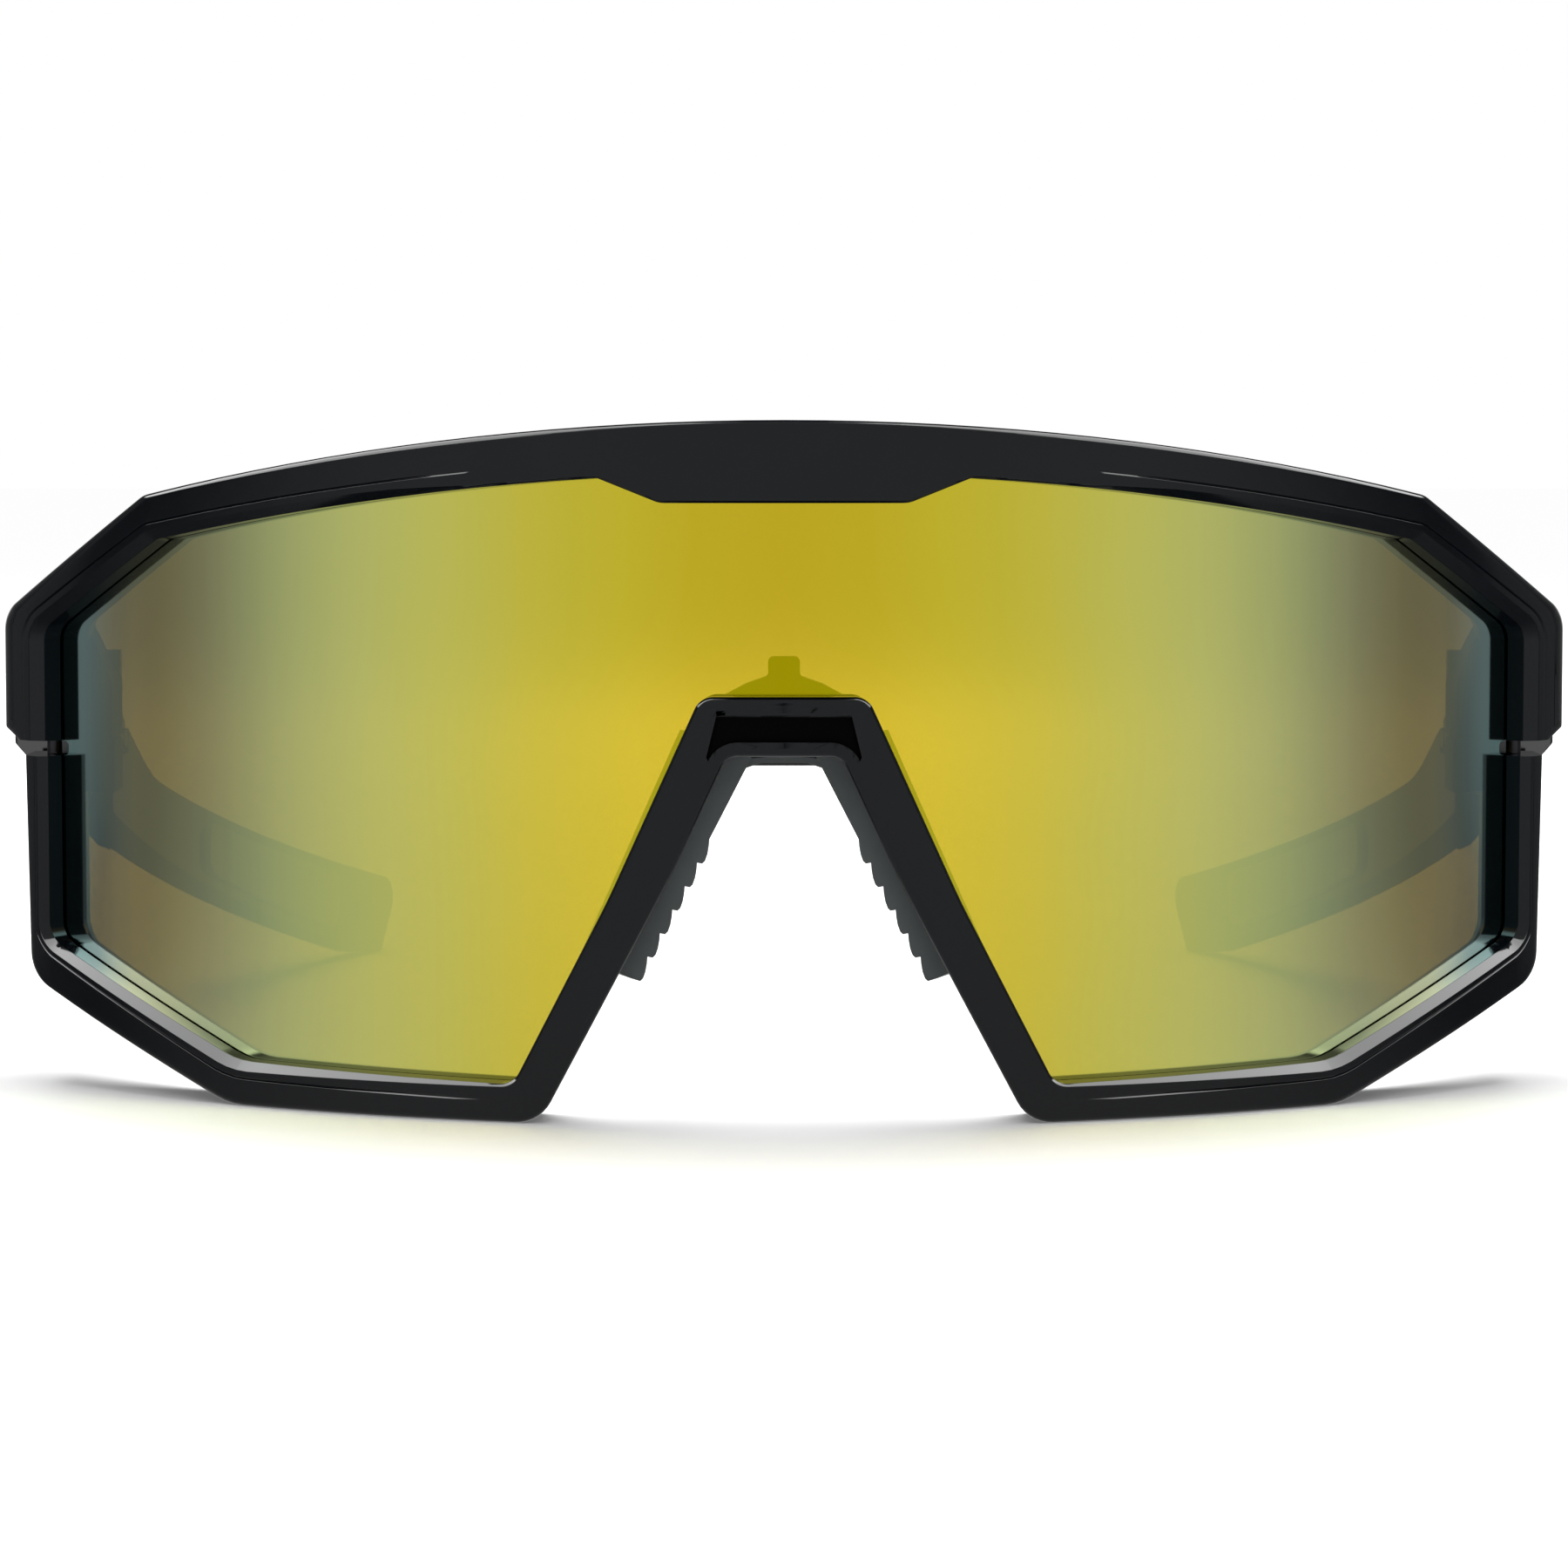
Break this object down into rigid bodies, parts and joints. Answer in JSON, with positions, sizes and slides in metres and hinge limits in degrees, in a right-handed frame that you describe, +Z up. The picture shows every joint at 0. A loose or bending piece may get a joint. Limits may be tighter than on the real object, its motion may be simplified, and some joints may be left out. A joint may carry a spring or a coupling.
{
  "type": "wraparound sport sunglasses",
  "caption": "Wraparound sport sunglasses: a mirrored cylindrical shield lens held between a brow frame and a lower frame, with a rubber nose saddle and folding curved temples.",
  "frame": {"origin": "on the table plane, under the middle of the bounding box", "axes": "+X towards the wearer's left (to the right when looking at the lens), -Y forwards out of the lens, +Z up from the table to the brow"},
  "size_m": [0.147, 0.1496, 0.0614],
  "materials": {
    "frame": "gloss near-black injection moulded nylon",
    "temple": "gloss near-black",
    "lens": "gold to green mirror coating on brown tinted polycarbonate",
    "rubber": "matt dark grey soft elastomer",
    "dark_plastic": "satin black",
    "nylon": "natural nylon",
    "satin_steel": "satin stainless steel",
    "steel": "bright stainless steel"
  },
  "bodies": {
    "front": {"brow_frame": "frame", "lens": "lens", "left_hinge_bracket": "satin_steel", "right_hinge_bracket": "satin_steel", "bracket_screws": "steel", "left_hinge_screw": "steel", "right_hinge_screw": "steel", "left_hinge_washers": "nylon", "right_hinge_washers": "nylon"},
    "jaw": {"lower_frame": "frame", "jaw_pins": "steel", "nose_carrier": "dark_plastic", "nose_pad": "rubber"},
    "left_temple": {"left_temple_arm": "temple", "left_temple_leaf": "satin_steel", "left_leaf_screws": "steel", "left_ear_grip": "rubber"},
    "right_temple": {"right_temple_arm": "temple", "right_temple_leaf": "satin_steel", "right_leaf_screws": "steel", "right_ear_grip": "rubber"}
  },
  "joints": [
    {"name": "left_temple_fold", "type": "hinge", "parent": "front", "child": "left_temple", "pos_m": [0.0672, -0.02881, 0.0306], "axis": [0, 0, 1], "range_deg": [0, 90]},
    {"name": "right_temple_fold", "type": "hinge", "parent": "front", "child": "right_temple", "pos_m": [-0.0672, -0.02881, 0.0306], "axis": [0, 0, -1], "range_deg": [0, 80]},
    {"name": "lower_frame_drop", "type": "slide", "parent": "front", "child": "jaw", "axis": [0, 0, -1], "range_m": [0, 0.012]}
  ]
}
